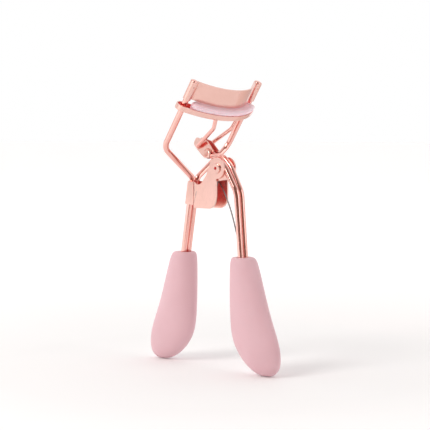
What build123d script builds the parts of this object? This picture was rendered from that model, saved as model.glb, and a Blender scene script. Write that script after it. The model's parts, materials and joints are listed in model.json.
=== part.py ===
from build123d import *
from math import asin, cos, degrees, radians, sin, sqrt
import os

# Eyelash curler, a squeeze tool of bent rod and folded sheet, in millimetres.
# +X is the wide direction of the jaws and the line of the pivot rivet,
# +Y points to the lever side, which is also the side that the jaws bulge to,
# +Z is up.  Z = 0 is the lowest point of both handles, and X = Y = 0 is
# the middle of the pair of handles.

# ---------------------------------------------------------------- driving sizes
wire_d = 2.2              # rod that the frame and the lever are bent from
link_d = 1.5              # rod of the push link
spring_d = 0.5            # spring steel of the return spring
sheet = 0.6               # folded sheet of the bracket
thin_sheet = 0.5          # pressed sheet of the jaws, the clevis and the knuckle
pair_x = 1.12             # half the distance between two rods side by side
spread_x = 1.4            # the same where the lever rods straddle the pivot
rail_x = 16.1             # half the distance between the two rails
pivot_y = 4.8             # the pivot rivet, from the middle of the handles
pivot_z = 73.9            # the pivot rivet, above the lowest point
fit = 0.05                # radial clearance of a pin that turns in a hole

wire_r = wire_d / 2
link_r = link_d / 2
spring_r = spring_d / 2

# Side view: local x is +Y and local y is +Z, both measured from the pivot.
side = Plane(origin=(0, pivot_y, pivot_z), x_dir=(0, 1, 0), z_dir=(1, 0, 0))

# ---------------------------------------------------------------- rails and jaws
rail_foot_y = -14.14      # the bend where each rail begins, from the pivot
rail_foot_z = 7.44
rail_lean = 34.3          # degrees from upright, towards the lever side
rail_length = 29.0
rail_dir = Vector(0, sin(radians(rail_lean)), cos(radians(rail_lean)))

jaw_lean = 27.0           # the jaws lean a little less than the rails
jaw_up = Vector(0, sin(radians(jaw_lean)), cos(radians(jaw_lean)))
jaw_axis = Axis((0, 0, 0), jaw_up)
jaw_bulge = 7.0           # how far the middle of the jaws stands ahead of the rails
jaw_r = (rail_x**2 + jaw_bulge**2) / (2 * jaw_bulge)
jaw_centre = jaw_bulge - jaw_r

trough_height = 17.0      # underside of the lower jaw, along the rails from their bend
trough_depth = 2.1
trough_width = 5.6
eyelet_r = 1.9            # the loose hole that each rail passes through
pad_top = 21.3            # the pad's crown, along the rails
plate_bottom = 21.5       # lower edge of the upper jaw, along the rails


def at(x, y, z):
    """A point given from the pivot, as a point of the part's own frame."""
    return Vector(x, pivot_y + y, pivot_z + z)


def on_rail(x, height):
    """A point level with the rails, at a height measured along them."""
    return at(x, rail_foot_y, rail_foot_z) + rail_dir * height


def jaw_plane(height):
    """Plane of a jaw: local x is +X and local y points out of the bulge."""
    return Plane(origin=on_rail(0, height), x_dir=(1, 0, 0), z_dir=jaw_up)


def rail_plane(height):
    """Plane square to the rails: local x is +X."""
    return Plane(origin=on_rail(0, height), x_dir=(1, 0, 0), z_dir=rail_dir)


def jaw_arc(half_width, radius=jaw_r):
    """Arc of a jaw in its plane, out to half_width on each side."""
    reach = degrees(asin(half_width / radius))
    return CenterArc((0, jaw_bulge - radius), radius, 90 - reach, 2 * reach)


def rod(points, radii, diameter):
    """A round rod along straight runs joined by arcs."""
    with BuildPart() as bent:
        with BuildLine() as run:
            FilletPolyline(*points, radius=radii)
        with BuildSketch(Plane(origin=run.line @ 0, z_dir=run.line % 0)):
            Circle(diameter / 2)
        sweep(path=run.line)
    return bent.part


trough_arc = jaw_arc(rail_x)
pad_low_arc = jaw_arc(11.8)
pad_top_arc = jaw_arc(11.75)

os.makedirs("parts", exist_ok=True)


def save(shape, name):
    """Label one finished piece and write it as its own file."""
    shape.label = name
    export_step(shape, f"parts/{name}.step")


# ---------------------------------------------------------------- frame rods
neck_y = -14.9                   # where the two frame rods come together
neck_z = -4.1
frame_slope = 0.173              # how far the frame shaft runs outwards per mm down
rod_end_z = 19.0 - pivot_z       # both shafts end this deep inside their handles
rail_bend_r = 5.0
neck_bend_r = 2.6
rail_proud = 0.4                 # the rails' tips stand this far above the upper jaw


def frame_shaft_y(z):
    """Centre of the frame shaft, from the pivot, at a height from the pivot."""
    return neck_y + frame_slope * (z - neck_z)


for name, hand in (("frame_wire_left", -1), ("frame_wire_right", 1)):
    bends = [
        on_rail(hand * rail_x, rail_length + rail_proud),
        at(hand * rail_x, rail_foot_y, rail_foot_z),
        at(hand * pair_x, neck_y, neck_z),
        at(hand * pair_x, frame_shaft_y(rod_end_z), rod_end_z),
    ]
    frame_wire = rod(bends, [rail_bend_r, neck_bend_r], wire_d)
    tip_edges = frame_wire.faces().sort_by(Axis.Z)[-1].edges()
    save(frame_wire.fillet(0.6, tip_edges), name)

# ---------------------------------------------------------------- lever rods
lever_foot_y = 8.6               # top of the straight lever shaft
lever_foot_z = -8.6
lever_slope = 0.0905             # how far the lever shaft runs outwards per mm down


def lever_shaft_y(z):
    """Centre of the lever shaft, from the pivot, at a height from the pivot."""
    return lever_foot_y + lever_slope * (lever_foot_z - z)


lever_wires = []
for name, hand in (("lever_wire_left", -1), ("lever_wire_right", 1)):
    bends = [
        at(hand * pair_x, lever_shaft_y(rod_end_z), rod_end_z),
        at(hand * pair_x, lever_foot_y, lever_foot_z),
        at(hand * spread_x, 2.9, 0.5),
        at(hand * spread_x, -0.9, 3.9),
        at(hand * pair_x, -5.0, 4.5),
        at(hand * pair_x, -6.9, 5.6),
    ]
    lever_wire = rod(bends, [9.0, 8.0, 4.5, 2.5], wire_d)
    lever_wires.append(lever_wire)
    save(lever_wire, name)

# ---------------------------------------------------------------- pivot rivet
rivet_r = 1.0
rivet_head_r = 2.0
rivet_head = 0.6
dimple_r = 0.6
dimple_depth = 1.2
ear_in = 2.56                    # inner faces of the bracket's ears
ear_out = ear_in + sheet

with BuildPart() as pivot_rivet:
    with BuildSketch(side):
        Circle(rivet_r)
    extrude(amount=ear_out, both=True)
    for hand in (-1, 1):
        with BuildSketch(side.offset(hand * ear_out)):
            Circle(rivet_head_r)
        extrude(amount=hand * rivet_head)
    rims = pivot_rivet.faces().sort_by(Axis.X)
    fillet([rims[0].edges()[0], rims[-1].edges()[0]], 0.25)
    for hand in (-1, 1):
        with BuildSketch(side.offset(hand * (ear_out + rivet_head))):
            Circle(dimple_r)
        extrude(amount=-hand * dimple_depth, mode=Mode.SUBTRACT)
save(pivot_rivet.part, "pivot_rivet")

# ---------------------------------------------------------------- frame bracket
spine_gap = wire_r + 0.02        # from the rods' centre line to the spine's inside
spine_half = pair_x + spine_gap  # half the room that the crimp leaves for the rods
ear_r = 3.9
crimp_round = 1.65               # the crimp's two outer corners
bracket_top = -5.2
spine_bottom = -13.7
cheek_bottom = -15.0

spine_top_y = frame_shaft_y(bracket_top) - spine_gap - sheet
spine_low_y = frame_shaft_y(spine_bottom) - spine_gap - sheet

with BuildPart() as frame_bracket:
    with BuildSketch(side):
        with BuildLine():
            notch = ThreePointArc((-12.1, -5.5), (-10.0, -6.3), (-7.9, -5.5))
            Polyline(notch @ 1, (-5.5, -2.7), (-3.6, 1.4), (1.0, 1.0), (-0.2, -3.5), (-0.2, -10.5))
            ThreePointArc((-0.2, -10.5), (-1.2, -13.5), (-3.9, cheek_bottom))
            Polyline((-3.9, cheek_bottom), (-12.6, cheek_bottom), (-12.6, -5.5), notch @ 0)
        make_face()
        Circle(ear_r)
    extrude(amount=ear_out, both=True)
    with BuildSketch(side):
        with BuildLine():
            Polyline((-14, 6), (6, 6), (6, -18), (-14, -18), (-14, 6))
        make_face()
    extrude(amount=ear_in, both=True, mode=Mode.SUBTRACT)
    with BuildSketch(side):
        with BuildLine():
            Polyline(
                (spine_top_y, bracket_top), (-12.0, bracket_top - 0.25), (-12.0, -14.1),
                (spine_low_y, spine_bottom), (spine_top_y, bracket_top),
            )
        make_face()
    extrude(amount=spine_half + sheet, both=True)
    outer = frame_bracket.edges().filter_by(lambda e: e.length > 7).sort_by(Axis.Y)[:2]
    fillet(outer, crimp_round)
    with BuildSketch(side):
        with BuildLine():
            Polyline(
                (frame_shaft_y(0) - spine_gap, 0), (6, 0), (6, -20),
                (frame_shaft_y(-20) - spine_gap, -20), (frame_shaft_y(0) - spine_gap, 0),
            )
        make_face()
    extrude(amount=spine_half, both=True, mode=Mode.SUBTRACT)
    with BuildSketch(side):
        Circle(rivet_r + 0.02)
    extrude(amount=ear_out, both=True, mode=Mode.SUBTRACT)
save(frame_bracket.part, "frame_bracket")

# ---------------------------------------------------------------- upper jaw plate
ring_r = 1.5                     # rolled ends of the plate, around the rails
plate_height = rail_length - plate_bottom
plate_half = 14.95               # where the plate runs into its rolled ends
plate_tuck = 0.7                 # its ends meet them this far behind the rails' line
plate_sag = jaw_bulge + plate_tuck
plate_r = (plate_half**2 + plate_sag**2) / (2 * plate_sag)
punch_r = 0.3                    # two punch marks lock each rolled end on its rail

with BuildPart() as upper_jaw_plate:
    with BuildSketch(jaw_plane(plate_bottom)):
        with Locations((0, jaw_bulge - plate_r)):
            Circle(plate_r + thin_sheet / 2)
            Circle(plate_r - thin_sheet / 2, mode=Mode.SUBTRACT)
        with Locations((0, (jaw_bulge - plate_tuck) / 2)):
            Rectangle(2 * plate_half + 0.4, plate_sag + 1.0, mode=Mode.INTERSECT)
    extrude(amount=plate_height, dir=rail_dir)
    with BuildSketch(rail_plane(plate_bottom)):
        with Locations((-rail_x, 0), (rail_x, 0)):
            Circle(ring_r)
    extrude(amount=plate_height)
    with BuildSketch(rail_plane(plate_bottom - 1)):
        with Locations((-rail_x, 0), (rail_x, 0)):
            Circle(wire_r + 0.01)
    extrude(amount=plate_height + 2, mode=Mode.SUBTRACT)
    for hand in (-1, 1):
        for along, across in ((rail_length - 1.9, 0.45), (rail_length - 1.2, -0.45)):
            mark = Location((hand * rail_x + across, ring_r, 0))
            with Locations(rail_plane(along).location * mark):
                Sphere(punch_r, mode=Mode.SUBTRACT)
save(upper_jaw_plate.part, "upper_jaw_plate")

# ---------------------------------------------------------------- lower jaw trough
foot_x = 5.6                     # where the link's feet come up through the floor
foot_out = sqrt(jaw_r**2 - foot_x**2) + jaw_centre + 1.2
foot_hole_r = link_r + 0.15
foot_head_r = 1.02               # the peened head of each foot, on the trough's floor
foot_head = 0.4

with BuildPart() as lower_jaw_trough:
    with BuildSketch(jaw_plane(trough_height)):
        SlotArc(trough_arc, trough_width)
    extrude(amount=trough_depth, dir=rail_dir)
    underside = lower_jaw_trough.faces().sort_by(jaw_axis)[0]
    fillet(underside.edges(), 0.4)
    with BuildSketch(jaw_plane(trough_height + thin_sheet)):
        SlotArc(trough_arc, trough_width - 2 * thin_sheet)
    extrude(amount=trough_depth, dir=rail_dir, mode=Mode.SUBTRACT)
    with BuildSketch(jaw_plane(trough_height - 1)):
        with Locations((-rail_x, 0), (rail_x, 0)):
            Circle(eyelet_r)
    extrude(amount=3, dir=rail_dir, mode=Mode.SUBTRACT)
    with BuildSketch(jaw_plane(trough_height - 1)):
        with Locations((-foot_x, foot_out), (foot_x, foot_out)):
            Circle(foot_hole_r)
    extrude(amount=3, mode=Mode.SUBTRACT)
save(lower_jaw_trough.part, "lower_jaw_trough")

# ---------------------------------------------------------------- push link
link_pin_y = -11.1               # the link's crosspiece, from the pivot
link_pin_z = 7.65
link_leg_x = 2.6                 # half the distance between the legs at the clevis


def foot_point(hand, rise):
    """A point on the axis of a link foot, at a distance above the trough's underside."""
    return jaw_plane(trough_height).from_local_coords((hand * foot_x, foot_out, rise))


def leg(hand):
    """One leg of the link, from its foot down to the crosspiece."""
    return [
        foot_point(hand, thin_sheet + 0.3),
        at(hand * 4.55, -0.1, 14.4),
        at(hand * link_leg_x, link_pin_y, link_pin_z),
    ]


with BuildPart() as push_link:
    with BuildLine() as link_run:
        FilletPolyline(*leg(-1), *reversed(leg(1)), radius=[3.0, 0.95, 0.95, 3.0])
    with BuildSketch(Plane(origin=link_run.line @ 0, z_dir=link_run.line % 0)):
        Circle(link_r)
    sweep(path=link_run.line)
    with BuildSketch(jaw_plane(trough_height).offset(thin_sheet)):
        with Locations((-foot_x, foot_out), (foot_x, foot_out)):
            Circle(foot_head_r)
    extrude(amount=foot_head)
save(push_link.part, "push_link")

# ---------------------------------------------------------------- lash pad
pad_base = trough_height + thin_sheet + 0.02
pad_rim = trough_height + trough_depth
pad_overhang = 0.15              # the crown reaches this far over each wall
crown_round = 1.6
with BuildPart() as lash_pad:
    with BuildSketch(jaw_plane(pad_base)):
        SlotArc(pad_low_arc, trough_width - 2 * thin_sheet - 0.06)
    extrude(amount=pad_rim - pad_base + 0.1, dir=rail_dir)
    with BuildSketch(jaw_plane(pad_rim + 0.02)):
        SlotArc(pad_top_arc, trough_width + 2 * pad_overhang)
    extrude(amount=pad_top - pad_rim, dir=rail_dir)
    crown = lash_pad.faces().sort_by(jaw_axis)[-1]
    fillet(crown.edges(), crown_round)
    with BuildSketch(jaw_plane(trough_height)):
        with Locations((-foot_x, foot_out), (foot_x, foot_out)):
            Circle(foot_head_r + 0.1)
    extrude(amount=thin_sheet + foot_head + 0.1, mode=Mode.SUBTRACT)
save(lash_pad.part, "lash_pad")

# ---------------------------------------------------------------- lever clevis
fork_in = 0.95                   # inner faces of the fork that holds the link
socket_in = pair_x + wire_r + 0.02
bulge_round = 0.9                # the socket is a soft bulge around the ends of the rods

with BuildPart() as lever_clevis:
    with BuildSketch(side):
        with BuildLine():
            Polyline(
                (-12.7, 11.2), (-7.1, 9.8), (-3.4, 6.3), (-4.3, 3.6), (-6.0, 3.3), (-8.6, 3.7),
                (-12.4, 6.8), (-14.2, 8.6), (-12.7, 11.2),
            )
        make_face()
    extrude(amount=fork_in + thin_sheet, both=True)
    long_edges = lever_clevis.edges().filter_by(Axis.X)
    fillet(long_edges.sort_by(Axis.Y)[:2], 1.2)
    with BuildSketch(side):
        with BuildLine():
            Polyline(
                (-7.7, 6.2), (-6.3, 7.15), (-4.6, 6.5), (-4.0, 5.6), (-4.3, 3.6), (-6.0, 3.3),
                (-8.2, 4.1), (-7.7, 6.2),
            )
        make_face()
    extrude(amount=socket_in + thin_sheet, both=True)
    bulges = lever_clevis.faces().sort_by(Axis.X)
    fillet([*bulges[0].edges(), *bulges[-1].edges()], bulge_round)
    with BuildSketch(side):
        with BuildLine():
            Polyline(
                (-12.4, 12.5), (-13.55, 8.9), (-12.05, 7.4), (-8.4, 4.35), (-6.6, 3.95), (-5.8, 3.0),
                (-2.5, 3.0), (-2.5, 12.5), (-12.4, 12.5),
            )
        make_face()
    extrude(amount=fork_in, both=True, mode=Mode.SUBTRACT)
    with BuildSketch(side):
        with BuildLine():
            Polyline(
                (-6.45, 6.8), (-4.75, 5.9), (-2.5, 5.45), (-2.5, 3.0), (-5.8, 3.0), (-6.6, 3.95),
                (-7.7, 4.55), (-6.45, 6.8),
            )
        make_face()
    extrude(amount=socket_in, both=True, mode=Mode.SUBTRACT)
    with BuildSketch(side):
        with Locations((link_pin_y, link_pin_z)):
            Circle(link_r + fit)
    extrude(amount=fork_in + thin_sheet, both=True, mode=Mode.SUBTRACT)
save(lever_clevis.part, "lever_clevis")

# ---------------------------------------------------------------- lever knuckle
knuckle_out = 2.45
knuckle_in = knuckle_out - thin_sheet

with BuildPart() as lever_knuckle:
    with BuildSketch(side):
        Circle(2.2)
        with BuildLine():
            Polyline((-2.1, -0.8), (-1.2, -4.9), (3.4, -4.2), (4.6, -3.3), (2.0, 0.8), (-2.1, -0.8))
        make_face()
    extrude(amount=knuckle_out, both=True)
    with BuildSketch(side):
        with BuildLine():
            Polyline((-4, 3), (-3.2, -1), (-1.3, -4.4), (3.4, -3.65), (6, -3.6), (6, 3), (-4, 3))
        make_face()
    extrude(amount=knuckle_in, both=True, mode=Mode.SUBTRACT)
    with BuildSketch(side):
        Circle(rivet_r + fit)
    extrude(amount=knuckle_out, both=True, mode=Mode.SUBTRACT)
    for lever_wire in lever_wires:
        add(lever_wire, mode=Mode.SUBTRACT)
save(lever_knuckle.part, "lever_knuckle")

# ---------------------------------------------------------------- return spring
coil_y, coil_z = -4.5, -5.4      # middle of the coil, from the pivot
coil_r = 1.5
coil_pitch = 0.58
leg_angle = -50.97               # heading of the long leg in the side view, degrees
coil_sweep = 3 * 360 + 89.0      # degrees of winding between the two legs
coil_length = coil_pitch * coil_sweep / 360
leg_start = radians(leg_angle + 90)
leg_leave = radians(leg_angle + 90 + coil_sweep)


def coil_point(x, angle):
    """A point on the coil's centre line."""
    return at(x, coil_y + coil_r * cos(angle), coil_z + coil_r * sin(angle))


coil_plane = Plane(
    origin=at(-coil_length / 2, coil_y, coil_z),
    x_dir=(0, cos(leg_start), sin(leg_start)),
    z_dir=(1, 0, 0),
)
long_leg = [
    coil_point(-coil_length / 2, leg_start),
    at(-0.3, 3.6, -13.0),
    at(0, 6.3, -20.0),
    at(0, 8.3, -26.2),
]
short_leg = [coil_point(coil_length / 2, leg_leave), at(coil_length / 2, -14.75, -11.5)]

winding = coil_plane.location * Helix(coil_pitch, coil_length, coil_r)
with BuildPart() as return_spring:
    with BuildSketch(Plane(origin=winding @ 0, z_dir=winding % 0)):
        Circle(spring_r)
    sweep(path=winding, is_frenet=True)
    add(rod(long_leg, [20.0, 14.0], spring_d))
    with BuildLine() as stub:
        Line(*short_leg)
    with BuildSketch(Plane(origin=stub.line @ 0, z_dir=stub.line % 0)):
        Circle(spring_r)
    sweep(path=stub.line)
save(return_spring.part, "return_spring")

# ---------------------------------------------------------------- handles
# One row for each height: height above the lowest point, distance of the
# middle from the tool's middle plane, half width and half thickness.
handle_rows = [
    (0.0, 27.6, 2.4, 1.4),
    (1.0, 27.1, 5.0, 2.9),
    (3.4, 25.9, 8.0, 4.0),
    (7.6, 23.8, 10.2, 4.6),
    (12.5, 21.8, 11.0, 4.9),
    (19.6, 19.7, 9.5, 5.1),
    (27.0, 18.2, 8.0, 5.1),
    (35.0, 16.9, 6.4, 5.0),
    (39.9, 16.1, 5.3, 4.8),
    (41.4, 15.8, 4.6, 4.3),
    (42.0, 15.7, 3.6, 3.5),
]
slot_room = 0.05
slot_top = 44.0

shafts = {"frame_handle": (-1, frame_shaft_y), "lever_handle": (1, lever_shaft_y)}
for name, (hand, shaft_y) in shafts.items():
    entry = at(0, shaft_y(slot_top - pivot_z), slot_top - pivot_z)
    bottom = at(0, shaft_y(rod_end_z), rod_end_z)
    with BuildPart() as handle:
        for height, middle, half_width, half_thick in handle_rows:
            with BuildSketch(Plane.XY.offset(height)):
                with Locations((0, hand * middle)):
                    Ellipse(half_thick, half_width)
        loft()
        with BuildSketch(Plane(origin=entry, x_dir=(1, 0, 0), z_dir=bottom - entry)):
            SlotCenterToCenter(2 * pair_x, wire_d + 2 * slot_room)
        extrude(amount=(bottom - entry).length + 0.1, mode=Mode.SUBTRACT)
    save(handle.part, name)
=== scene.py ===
# %% [markdown]
# # An eyelash curler in rose gold and pink
#
# This lesson dresses a finished CAD model of a hand eyelash curler. The CAD model already holds the
# exact rods, folded sheet and pivots, so the bent metal keeps its own shape and gets a good finish.
# The soft pad, the two moulded handles and the thin return spring are made again here, because CAD
# gives them no life. The bracket is copied too, so that a seam can be cut in it.
#
# Lengths are in metres. +X runs along the pivot rivet, +Y points to the lever handle, +Z is up.

# %% Load the CAD model as a fixed frame
import json
import math

import bmesh
import bpy
from mathutils import Matrix, Vector


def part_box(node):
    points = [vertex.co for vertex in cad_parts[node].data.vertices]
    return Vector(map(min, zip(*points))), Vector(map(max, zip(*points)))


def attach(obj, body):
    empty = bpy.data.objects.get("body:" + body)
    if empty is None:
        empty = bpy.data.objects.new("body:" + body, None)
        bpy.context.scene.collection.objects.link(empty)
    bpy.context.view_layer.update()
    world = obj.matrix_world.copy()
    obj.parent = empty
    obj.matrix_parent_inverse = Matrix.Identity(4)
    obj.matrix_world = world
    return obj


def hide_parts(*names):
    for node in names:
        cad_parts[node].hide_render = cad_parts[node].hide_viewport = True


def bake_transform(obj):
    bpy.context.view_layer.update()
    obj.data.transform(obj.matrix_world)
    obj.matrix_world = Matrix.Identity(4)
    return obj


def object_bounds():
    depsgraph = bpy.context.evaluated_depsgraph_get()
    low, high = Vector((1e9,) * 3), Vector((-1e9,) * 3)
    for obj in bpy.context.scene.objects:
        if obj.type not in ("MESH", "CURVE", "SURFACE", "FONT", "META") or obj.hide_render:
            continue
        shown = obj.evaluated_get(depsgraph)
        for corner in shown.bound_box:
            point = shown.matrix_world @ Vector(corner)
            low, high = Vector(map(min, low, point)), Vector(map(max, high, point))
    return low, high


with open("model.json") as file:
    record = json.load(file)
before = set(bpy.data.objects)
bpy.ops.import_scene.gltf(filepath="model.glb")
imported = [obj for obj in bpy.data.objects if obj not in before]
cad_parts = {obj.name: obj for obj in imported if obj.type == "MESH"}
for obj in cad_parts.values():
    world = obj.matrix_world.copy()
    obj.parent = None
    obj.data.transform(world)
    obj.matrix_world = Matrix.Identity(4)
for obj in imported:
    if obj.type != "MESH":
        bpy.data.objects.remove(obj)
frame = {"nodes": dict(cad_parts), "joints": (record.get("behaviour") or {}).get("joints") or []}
cad_low, cad_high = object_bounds()
joints = {j["name"]: j for j in frame["joints"]}
pivot = Vector(joints["lever_pivot"]["pos_m"])
print("nodes:", ", ".join(sorted(frame["nodes"])))
print("overall size in mm:", [round(v * 1000, 1) for v in (cad_high - cad_low)])
print("pivot rivet at", [round(v * 1000, 1) for v in pivot], "mm")

# %% [markdown]
# ## Which way the tool leans
#
# Almost every piece of this tool is drawn in its side view. The two rails lean 34 degrees from
# upright, and the jaws lean a little less. Three small helpers say where a point is, so that the
# pad can be made in the jaw's own directions: along the rivet, out of the bulge, and up the jaw.
# The other way would be to make the pad flat and turn it into place with a rotation, but then a
# number read from the CAD model would have to be turned back each time.

# %% Directions of the rails and the jaws
mm = 0.001
rail_lean, jaw_lean = math.radians(34.3), math.radians(27.0)
rail_up = Vector((0, math.sin(rail_lean), math.cos(rail_lean)))
jaw_up = Vector((0, math.sin(jaw_lean), math.cos(jaw_lean)))
jaw_out = Vector((0, math.cos(jaw_lean), -math.sin(jaw_lean)))
rail_foot = pivot + Vector((0, -14.14, 7.44)) * mm


def in_jaw(x, out, climb):
    """A point of the jaw: across, out of the bulge, and up the rails, in millimetres."""
    return rail_foot + Vector((x, 0, 0)) * mm + jaw_out * out * mm + rail_up * climb * mm


def report(name):
    low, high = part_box(name)
    print(f"{name}: {[round(v * 1000, 1) for v in (high - low)]} mm across")


report("lower_jaw_trough")
report("lash_pad")

# %% [markdown]
# ## The camera
#
# The tool stands upright and is seen from its lever side, 44 degrees round from the rivet's line,
# and almost level: the eye is only 4 degrees above the pivot. It stands close, 55 cm away, so the
# nearer handle looks a little larger than the far one. A long lens of 126 mm then frames the tool.
# A camera can be aimed by a constraint or by hand. Here its three directions are worked out, which
# keeps the small roll of a hand-held view.

# %% Place and aim the camera
round_by, tilt, roll = math.radians(43.68), math.radians(4.0), math.radians(0.14)
back = Vector((math.sin(round_by) * math.cos(tilt), math.cos(round_by) * math.cos(tilt), math.sin(tilt)))
across = Vector((-math.cos(round_by), math.sin(round_by), 0))
upward = back.cross(across)
right = across * math.cos(roll) + upward * math.sin(roll)
top = upward * math.cos(roll) - across * math.sin(roll)
stand = pivot - right * 2.8 * mm - top * 17.19 * mm + back * 0.5495

camera_data = bpy.data.cameras.new("camera")
camera_data.sensor_width = 36.0
camera_data.lens = 125.6
camera_data.clip_start, camera_data.clip_end = 0.01, 20.0
camera = bpy.data.objects.new("camera", camera_data)
bpy.context.collection.objects.link(camera)
camera.matrix_world = Matrix.Translation(stand) @ Matrix((right, top, back)).transposed().to_4x4()
bpy.context.scene.camera = camera
bpy.context.scene.view_settings.view_transform = "Standard"
print("lens", round(camera_data.lens, 1), "mm, standing", round((stand - pivot).length * 100, 1), "cm away")

# %% [markdown]
# ## A helper for finishes
#
# A finish here is one Principled shader with a few texture nodes in front of it. Every finish needs
# the same start: an empty node tree, the shader, and the object's own coordinates, which stay put
# when the view turns. A tiny helper adds a node, sets its inputs and links them, so that each
# finish below reads as a list of what it is made of. Numbers that are the same all over the
# surface are set on the shader's own sockets.

# %% Helpers for node materials
def new_finish(name):
    finish = bpy.data.materials.new(name)
    finish.use_nodes = True
    tree = finish.node_tree
    shader = tree.nodes["Principled BSDF"]
    place = tree.nodes.new("ShaderNodeTexCoord").outputs["Object"]
    return finish, tree, shader, place


def node(tree, kind, **inputs):
    made = tree.nodes.new(kind)
    for name, value in inputs.items():
        socket = made.inputs[name.replace("_", " ")]
        if isinstance(value, bpy.types.NodeSocket):
            tree.links.new(value, socket)
        else:
            socket.default_value = value
    return made


def noise(tree, place, size, detail=3.0, roughness=0.5):
    """Soft noise whose blobs are about size metres across, from 0 to 1."""
    blobs = {"Scale": 1.0 / size, "Detail": detail, "Roughness": roughness}
    return node(tree, "ShaderNodeTexNoise", Vector=place, **blobs).outputs["Fac"]


def ramp(tree, value, *stops):
    """A colour for each value: stops are (position, (r, g, b))."""
    made = node(tree, "ShaderNodeValToRGB", Fac=value)
    stripe = made.color_ramp.elements
    while len(stripe) < len(stops):
        stripe.new(0.5)
    for stop, (position, colour) in zip(stripe, stops):
        stop.position = position
        stop.color = (*colour, 1.0)
    return made.outputs["Color"]


def between(tree, value, low, high, out_low, out_high):
    """The value moved from one range to another."""
    made = node(tree, "ShaderNodeMapRange", Value=value)
    made.inputs["From Min"].default_value = low
    made.inputs["From Max"].default_value = high
    made.inputs["To Min"].default_value = out_low
    made.inputs["To Max"].default_value = out_high
    return made.outputs["Result"]


def relief(tree, shader, height, strength, distance):
    bump = node(tree, "ShaderNodeBump", Height=height, Strength=strength, Distance=distance)
    tree.links.new(bump.outputs["Normal"], shader.inputs["Normal"])


print("helpers ready:", new_finish.__name__, node.__name__, noise.__name__, ramp.__name__)

# %% [markdown]
# ## Rose gold plating
#
# The rods and the sheet are steel with a bright copper-pink plating. Plating is a metal, so the
# shader is metallic and its base colour is the colour of one reflection. A strong colour matters:
# inside a folded channel the light bounces twice or more, and each bounce multiplies the colour.
# That alone leaves the folds brown, while the real ones look bright red. So where the surface is
# sheltered, an ambient occlusion node paints a red reflection into the colour and makes the finish
# less mirror-like. This red is painted light standing for the bounces, not a property of plating.
# Drawn rod is smoother than pressed sheet, so the sheet is rougher and has a faint rolled grain.

# %% Make the two plated finishes
def plating(name, light, deep, smooth, rough, grain):
    finish, tree, shader, place = new_finish(name)
    cloud = noise(tree, place, 6 * mm, 2.0)
    open_colour = ramp(tree, cloud, (0.32, deep), (0.68, light))
    # painted reflection: sheltered folds are tinted red and made less metallic, in place of bounced light
    shelter = node(tree, "ShaderNodeAmbientOcclusion", Distance=12 * mm)
    depth = between(tree, shelter.outputs["AO"], 0.16, 0.50, 1.0, 0.0)
    painted_fold_reflection = node(tree, "ShaderNodeMixRGB", Fac=depth, Color1=open_colour)
    painted_fold_reflection.inputs["Color2"].default_value = (0.95, 0.11, 0.10, 1.0)
    tree.links.new(painted_fold_reflection.outputs["Color"], shader.inputs["Base Color"])
    handling = noise(tree, place, 1.6 * mm, 5.0, 0.6)
    tree.links.new(between(tree, handling, 0.3, 0.7, smooth, rough), shader.inputs["Roughness"])
    stretched = node(tree, "ShaderNodeMapping", Vector=place)
    stretched.inputs["Scale"].default_value = (1.0, 6.0, 0.8)
    lines = noise(tree, stretched.outputs["Vector"], 0.5 * mm, 4.0, 0.65)
    relief(tree, shader, lines, grain, 0.00002)
    tree.links.new(between(tree, depth, 0.0, 1.0, 1.0, 0.35), shader.inputs["Metallic"])
    return finish


rod_finish = plating("plated rod", (0.93, 0.54, 0.48), (0.91, 0.51, 0.45), 0.09, 0.15, 0.03)
sheet_finish = plating("plated sheet", (0.88, 0.56, 0.495), (0.86, 0.54, 0.47), 0.19, 0.26, 0.05)
print("made", rod_finish.name, "and", sheet_finish.name)

# %% [markdown]
# ## Spring wire, silicone and soft-touch plastic
#
# The spring is drawn steel that is left dark. The pad is pale lilac silicone: light goes a little
# way into it, so it has subsurface scattering and a satin shine. The handles are moulded in a
# matt pink plastic with a very fine moulded grain, and their colour varies a touch in soft patches.
# Subsurface radii are real lengths here, because the whole scene is in metres.

# %% Make the spring, pad and handle finishes
def wire_finish():
    finish, tree, shader, place = new_finish("spring wire")
    marks = noise(tree, place, 0.8 * mm, 4.0)
    steel = ramp(tree, marks, (0.3, (0.16, 0.14, 0.14)), (0.7, (0.34, 0.31, 0.31)))
    tree.links.new(steel, shader.inputs["Base Color"])
    tree.links.new(between(tree, marks, 0.3, 0.7, 0.28, 0.45), shader.inputs["Roughness"])
    shader.inputs["Metallic"].default_value = 1.0
    return finish


def soft_finish(name, pale, deep, patch, grain_size, grain, smooth, rough, glow, depth):
    finish, tree, shader, place = new_finish(name)
    cloud = noise(tree, place, patch, 2.0)
    tree.links.new(ramp(tree, cloud, (0.3, deep), (0.7, pale)), shader.inputs["Base Color"])
    skin = noise(tree, place, grain_size, 3.0, 0.6)
    tree.links.new(between(tree, skin, 0.3, 0.7, smooth, rough), shader.inputs["Roughness"])
    relief(tree, shader, skin, grain, 0.00003)
    shader.inputs["Subsurface Weight"].default_value = glow
    shader.inputs["Subsurface Radius"].default_value = (1.0, 0.7, 0.75)
    shader.inputs["Subsurface Scale"].default_value = depth
    return finish


spring_finish = wire_finish()
silicone = soft_finish(
    "pale silicone", pale=(0.90, 0.69, 0.75), deep=(0.88, 0.66, 0.72), patch=5 * mm,
    grain_size=0.35 * mm, grain=0.10, smooth=0.34, rough=0.46, glow=0.6, depth=2.0 * mm,
)
plastic = soft_finish(
    "soft pink plastic", pale=(0.78, 0.51, 0.555), deep=(0.75, 0.48, 0.525), patch=14 * mm,
    grain_size=0.25 * mm, grain=0.12, smooth=0.46, rough=0.58, glow=0.20, depth=1.5 * mm,
)
print("made", spring_finish.name, silicone.name, plastic.name)

# %% [markdown]
# ## Dress the metal pieces
#
# The rods, the folded pieces and the rivet are shown as the CAD model has them. A CAD mesh has one
# flat material, so its slots are emptied and the finish is put in. Smooth shading is kept, because
# the CAD model already carries the right surface directions for its edges.

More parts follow.
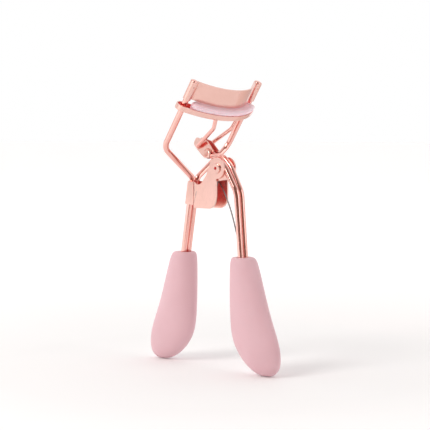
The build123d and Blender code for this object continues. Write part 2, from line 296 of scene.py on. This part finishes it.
# %% Give each metal piece its finish
rod_pieces = ("frame_wire_left", "frame_wire_right", "lever_wire_left", "lever_wire_right", "push_link")
sheet_pieces = (
    "upper_jaw_plate", "lower_jaw_trough", "frame_bracket", "lever_clevis", "lever_knuckle", "pivot_rivet",
)
for group, finish in ((rod_pieces, rod_finish), (sheet_pieces, sheet_finish)):
    for name in group:
        metal = frame["nodes"][name]
        metal.data.materials.clear()
        metal.data.materials.append(finish)
        print(name, "->", finish.name, len(metal.data.polygons), "faces")

# %% [markdown]
# ## The seam on the bracket
#
# The bracket's back is crimped round the two frame rods, and a narrow seam shows where the crimp
# ends and each flat cheek begins. A painted line would have no depth, so the seam is
# cut: a thin bar on each side is taken out of a copy of the CAD mesh with a boolean. The copy then
# stands in for the CAD bracket, the bars are removed, and edges over thirty degrees stay crisp. The
# big flat faces set the shading of their borders, so that the cheeks look flat.

# %% Cut the seam into both cheeks
plain_bracket = frame["nodes"]["frame_bracket"]
bracket = bpy.data.objects.new("frame_bracket_seamed", plain_bracket.data.copy())
bracket.matrix_world = plain_bracket.matrix_world
bpy.context.collection.objects.link(bracket)
seam_middle = pivot + Vector((0, -12.45, -10.1)) * mm
bar_size = Matrix.Diagonal((1.0 * mm, 0.6 * mm, 12.0 * mm, 1))
bar_out = 3.15
bars = bmesh.new()
for hand in (-1, 1):
    place = Matrix.Translation(seam_middle + Vector((hand * bar_out, 0, 0)) * mm)
    bmesh.ops.create_cube(bars, size=1.0, matrix=place @ bar_size)
bar_data = bpy.data.meshes.new("seam_bars")
bars.to_mesh(bar_data)
bars.free()
bar_object = bpy.data.objects.new("seam_bars", bar_data)
bpy.context.collection.objects.link(bar_object)
cut = bracket.modifiers.new("seam", "BOOLEAN")
cut.operation, cut.solver, cut.object = "DIFFERENCE", "EXACT", bar_object
before = len(bracket.data.polygons)
scene_now = bpy.context.evaluated_depsgraph_get()
cut_mesh = bpy.data.meshes.new_from_object(bracket.evaluated_get(scene_now))
bracket.modifiers.clear()
bpy.data.objects.remove(bar_object)
cut_mesh.shade_smooth()
cut_mesh.set_sharp_from_angle(angle=math.radians(30))
bracket.data = cut_mesh
flatten = bracket.modifiers.new("flat cheeks", "WEIGHTED_NORMAL")
flatten.keep_sharp, flatten.weight = True, 100
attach(bracket, "frame")
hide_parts("frame_bracket")
print("bracket had", before, "faces and now has", len(cut_mesh.polygons))

# %% [markdown]
# ## The handles
#
# Each handle is one moulding: a narrow neck where the two rods go in, a waist that thickens, and a
# wide paddle with a rounded end for the fingers. Its broad side lies in the plane of the squeeze.
# It could be carved from a box with a subdivision surface, or turned on a lathe, but it is neither
# round nor square. A stack of rings does it best: each ring is an oval with its own height,
# distance, width and thickness, and a subdivision surface runs smoothly through them. The neck's
# top dips a little round the rods.

# %% A helper that skins a stack of rings
def skin_rings(name, rings, finish, levels, closed_ends=True):
    """A smooth closed mesh through rings of equal count; the ends are filled."""
    mesh = bmesh.new()
    rows = [[mesh.verts.new(point) for point in ring] for ring in rings]
    for low_row, high_row in zip(rows, rows[1:]):
        for i in range(len(low_row)):
            j = (i + 1) % len(low_row)
            mesh.faces.new((low_row[i], low_row[j], high_row[j], high_row[i]))
    if closed_ends:
        for row in (rows[0], rows[-1]):
            hub = mesh.verts.new(sum((v.co for v in row), Vector()) / len(row))
            for i in range(len(row)):
                mesh.faces.new((row[i], row[(i + 1) % len(row)], hub))
    bmesh.ops.recalc_face_normals(mesh, faces=mesh.faces)
    data = bpy.data.meshes.new(name)
    mesh.to_mesh(data)
    mesh.free()
    data.shade_smooth()
    piece = bpy.data.objects.new(name, data)
    bpy.context.collection.objects.link(piece)
    data.materials.append(finish)
    smoother = piece.modifiers.new("smooth", "SUBSURF")
    smoother.levels = smoother.render_levels = levels
    return piece


def oval(centre, side_a, side_b, count=28):
    turns = [2 * math.pi * i / count for i in range(count)]
    return [centre + side_a * math.cos(t) + side_b * math.sin(t) for t in turns]


print("rings of", len(oval(Vector(), Vector((1, 0, 0)), Vector((0, 1, 0)))), "points")

# %% Mould the two handles
# height, distance from the middle plane, half width, half thickness, in millimetres
paddle = (
    (0.05, 27.6, 2.6, 1.5), (1.0, 27.1, 5.1, 2.95), (3.4, 25.9, 8.1, 4.05), (7.6, 23.8, 10.3, 4.65),
    (12.5, 21.8, 11.05, 4.95), (19.6, 19.7, 9.5, 5.15), (27.0, 18.2, 8.0, 5.15), (35.0, 16.9, 6.5, 5.05),
    (39.9, 16.1, 5.4, 4.85), (41.4, 15.8, 4.75, 4.35), (41.97, 15.7, 3.9, 3.7),
)
mouth = {"frame_handle": -14.95, "lever_handle": 15.5}
# the mouth's own rings go down into the top: height, half width and half thickness
mouth_rings = ((41.9, 2.85, 1.75), (41.3, 2.5, 1.4), (38.5, 2.45, 1.35))
for name, hand, body in (("frame_handle", -1, "frame"), ("lever_handle", 1, "lever")):
    rings = []
    for height, distance, half_width, half_thick in paddle:
        centre = Vector((0, hand * distance, height)) * mm
        rings.append(oval(centre, Vector((half_thick * mm, 0, 0)), Vector((0, half_width * mm, 0))))
    for height, half_width, half_thick in mouth_rings:
        centre = Vector((0, mouth[name], height)) * mm
        rings.append(oval(centre, Vector((half_width * mm, 0, 0)), Vector((0, half_thick * mm, 0))))
    grip = skin_rings(f"{name}_moulding", rings, plastic, 2)
    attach(grip, body)
    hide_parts(name)
    print(grip.name, "rides on", body, "with", len(rings), "rings")

# %% [markdown]
# ## The lash pad
#
# The pad is a strip of silicone that is pushed into the channel of the lower jaw. Its foot fills
# the channel, and its crown swells over both walls with a round top and round ends. It bends with
# the jaw. Sweeping one outline along a curve would give square ends, so the pad is a stack of
# rings again: each ring is the outline of a slice across the strip, and the slices shrink to a
# round end on both sides.

# %% Mould the pad along the jaw's arc
half_span, bulge = 16.1, 7.0
jaw_radius = (half_span**2 + bulge**2) / (2 * bulge)


def along_jaw(angle, out_more, climb):
    """A point over the jaw's arc, at an angle from its middle and out_more beyond the arc."""
    reach = jaw_radius + out_more
    return in_jaw(reach * math.sin(angle), bulge - jaw_radius + reach * math.cos(angle), climb)


pad_slice = (
    (-2.15, 17.60), (-2.2, 18.9), (-2.6, 19.15), (-2.95, 19.5), (-2.98, 20.3), (-2.55, 20.95), (-1.4, 21.25),
    (0.0, 21.32), (1.4, 21.25), (2.55, 20.95), (2.98, 20.3), (2.95, 19.5), (2.6, 19.15), (2.2, 18.9),
    (2.15, 17.60), (0.0, 17.56),
)
pad_reach = 15.7
narrowing, sinking = 2.9, 1.7
thinnest, lowest = 0.12, 0.35
pad_waist = 19.2


def rounding(from_end, length):
    """A quarter circle: 0 at the end, 1 from length onwards."""
    return math.sqrt(max(0.0, 1 - (1 - min(1.0, from_end / length)) ** 2))


rings = []
steps = 30
for i in range(steps + 1):
    s = -1 + 2 * i / steps
    travel = math.sin(s * math.pi / 2) * pad_reach
    from_end = pad_reach - abs(travel)
    swell = max(thinnest, rounding(from_end, narrowing))
    rise = rounding(from_end, sinking)
    ring = []
    for out, climb in pad_slice:
        height = pad_waist + (climb - pad_waist) * (lowest + (1 - lowest) * rise)
        ring.append(along_jaw(travel / jaw_radius, out * swell, height))
    rings.append(ring)
pad = skin_rings("lash_pad_strip", rings, silicone, 2)
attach(pad, "lower_jaw")
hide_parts("lash_pad")
print("pad of", len(rings), "slices,", round(2 * pad_reach, 1), "mm along the jaw")

# %% [markdown]
# ## The return spring
#
# A thin steel wire is wound three times inside the bracket. Its short end leans on the bracket's
# back, and its long end curves down to press on the lever's shaft, so the tool opens by itself.
# A curve with a round bevel is the natural way to draw wire. The coil's points come from a circle
# that also moves sideways, and the long end needs only five points.

# %% Wind the spring
coil_middle = pivot + Vector((0, -4.5, -5.4)) * mm
coil_r, pitch, turns = 1.5 * mm, 0.58 * mm, 3 + 89.0 / 360
start = math.radians(39.03)
per_turn = 16
coil_points = []
for i in range(int(turns * per_turn) + 1):
    wound = i / per_turn
    swing = start + wound * 2 * math.pi
    sideways = (wound - turns / 2) * pitch
    coil_points.append(coil_middle + Vector((sideways, coil_r * math.cos(swing), coil_r * math.sin(swing))))
long_end = ((0, 8.25, -26.2), (0, 6.7, -21.3), (-0.2, 4.3, -15.4), (-0.7, 0.9, -10.0), (-0.95, -1.4, -7.0))
short_end = ((0.95, -9.0, -8.9), (0.95, -14.6, -11.4))


def from_pivot(points):
    return [Vector(point) * mm + pivot for point in points]


wire_points = from_pivot(long_end) + coil_points + from_pivot(short_end)

wire_data = bpy.data.curves.new("return_spring_wire", "CURVE")
wire_data.dimensions = "3D"
wire_data.bevel_depth = 0.25 * mm
wire_data.bevel_resolution = 3
wire_data.resolution_u = 8
wire_data.use_fill_caps = True
spline = wire_data.splines.new("NURBS")
spline.points.add(len(wire_points) - 1)
for control, place in zip(spline.points, wire_points):
    control.co = (*place, 1.0)
spline.order_u = 3
spline.use_endpoint_u = True
wire_data.materials.append(spring_finish)
curve_object = bpy.data.objects.new("wire_curve", wire_data)
bpy.context.collection.objects.link(curve_object)
scene_now = bpy.context.evaluated_depsgraph_get()
wire_mesh = bpy.data.meshes.new_from_object(curve_object.evaluated_get(scene_now))
bpy.data.objects.remove(curve_object)
wire_mesh.shade_smooth()
spring = bpy.data.objects.new("return_spring_wire", wire_mesh)
bpy.context.collection.objects.link(spring)
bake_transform(spring)
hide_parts("return_spring")
print("spring of", len(wire_points), "points and", round(turns, 2), "turns")

# %% [markdown]
# ## Floor and light
#
# The tool stands on a plain white floor in a bright, even studio. A polished metal shows what is
# round it, so the room matters as much as the lamps. The room is white on all sides but a little
# darker behind the viewer, and that darker part draws the soft brown lines along the rods. One
# large soft lamp from the upper left models the handles, and a smaller one fills from the right.
# The bare white floor would wash out the underside of every rod, so two dark cards lie on it, one
# at the side and one in front. Photographers call them flags. Here only reflections see them: they
# are hidden from the camera and cast no shade, and each fades from grey-pink to brown.

# %% Lay the floor
floor_finish, tree, shader, place = new_finish("pale floor")
dust = noise(tree, place, 0.2, 3.0)
pale = ramp(tree, dust, (0.3, (0.90, 0.90, 0.90)), (0.7, (0.93, 0.93, 0.93)))
tree.links.new(pale, shader.inputs["Base Color"])
shader.inputs["Roughness"].default_value = 0.7
shader.inputs["Specular IOR Level"].default_value = 0.2
# painted light: the floor glows a little of itself, more the farther it lies, and so fades into white
far = node(tree, "ShaderNodeVectorMath")
far.operation = "LENGTH"
tree.links.new(place, far.inputs[0])
glow = between(tree, far.outputs["Value"], 0.08, 0.40, 0.06, 0.34)
tree.links.new(glow, shader.inputs["Emission Strength"])
shader.inputs["Emission Color"].default_value = (1.0, 1.0, 1.0, 1.0)
floor_mesh = bmesh.new()
bmesh.ops.create_circle(floor_mesh, cap_ends=True, segments=96, radius=4.0)
floor_data = bpy.data.meshes.new("floor")
floor_mesh.to_mesh(floor_data)
floor_mesh.free()
floor = bpy.data.objects.new("floor", floor_data)
floor.location = (0, 0, cad_low[2] - 0.0002)
floor_data.materials.append(floor_finish)
bpy.context.collection.objects.link(floor)
print("floor at", round(floor.location.z * 1000, 2), "mm")

# %% Light the studio
world = bpy.data.worlds.new("studio")
bpy.context.scene.world = world
world.use_nodes = True
room = world.node_tree
facing = node(room, "ShaderNodeVectorMath")
facing.operation = "DOT_PRODUCT"
room.links.new(room.nodes.new("ShaderNodeTexCoord").outputs["Generated"], facing.inputs[0])
facing.inputs[1].default_value = (back.x, back.y, 0.0)
white = (1, 1, 1)
towards_viewer = between(room, facing.outputs["Value"], -1.0, 1.0, 0.0, 1.0)
walls = ramp(
    room, towards_viewer,
    (0.0, white), (0.40, white), (0.50, (0.80, 0.79, 0.78)), (0.68, (0.44, 0.38, 0.36)),
    (0.90, (0.20, 0.12, 0.10)),
)
room.links.new(walls, room.nodes["Background"].inputs["Color"])
room.nodes["Background"].inputs["Strength"].default_value = 1.0


def soft_lamp(name, place, size, power, colour):
    lamp_data = bpy.data.lights.new(name, "AREA")
    lamp_data.shape = "RECTANGLE"
    lamp_data.size, lamp_data.size_y = size
    lamp_data.energy = power
    lamp_data.color = colour
    lamp = bpy.data.objects.new(name, lamp_data)
    lamp.location = place
    aim = Vector((0, 0, 0.06)) - lamp.location
    lamp.rotation_mode = "QUATERNION"
    lamp.rotation_quaternion = aim.to_track_quat("-Z", "Y")
    bpy.context.collection.objects.link(lamp)
    print(name, "of", power, "W at", [round(v, 2) for v in place])


def flag(name, place, size, facing, near, far):
    """A dark card that only reflections see; its shade runs from near to far along its length."""
    card_finish, tree, shader, where = new_finish(name)
    shader.inputs["Base Color"].default_value = (0, 0, 0, 1)
    length = node(tree, "ShaderNodeSeparateXYZ", Vector=where).outputs["X"]
    shade = ramp(tree, between(tree, length, -0.5, 0.5, 0.0, 1.0), (0.0, near), (1.0, far))
    tree.links.new(shade, shader.inputs["Emission Color"])
    shader.inputs["Emission Strength"].default_value = 1.0
    card_mesh = bmesh.new()
    bmesh.ops.create_grid(card_mesh, x_segments=1, y_segments=1, size=0.5)
    card_data = bpy.data.meshes.new(name)
    card_mesh.to_mesh(card_data)
    card_mesh.free()
    card_data.materials.append(card_finish)
    card = bpy.data.objects.new(name, card_data)
    along = Vector(facing[0]).normalized()
    normal = Vector(facing[1]).normalized()
    turn = Matrix((along, normal.cross(along), normal)).transposed().to_4x4()
    card.matrix_world = Matrix.Translation(place) @ turn @ Matrix.Diagonal((size[0], size[1], 1, 1))
    card.visible_camera = card.visible_diffuse = card.visible_shadow = False
    bpy.context.collection.objects.link(card)
    print(name, "of", size, "m at", [round(v, 2) for v in place])


soft_lamp("key_lamp", back * 0.5 - across * 0.7 + Vector((0, 0, 0.6)), (0.5, 0.5), 5.0, (1.0, 0.98, 0.96))
soft_lamp("fill_lamp", back * 0.5 + across * 0.8 + Vector((0, 0, 0.35)), (0.4, 0.6), 1.5, (1.0, 0.98, 0.98))
up = (0, 0, 1)
flag(
    "side_flag", Vector((-0.29, -0.03, 0.004)), (0.34, 0.30), ((-1, 0, 0), up),
    near=(0.85, 0.74, 0.70), far=(0.40, 0.30, 0.28),
)
front_reach = 0.30
front_place = back * front_reach + Vector((0, 0, 0.003 - front_reach * back.z))
flag(
    "front_flag", front_place, (0.34, 0.22), ((back.x, back.y, 0), up),
    near=(0.62, 0.52, 0.50), far=(0.25, 0.16, 0.14),
)
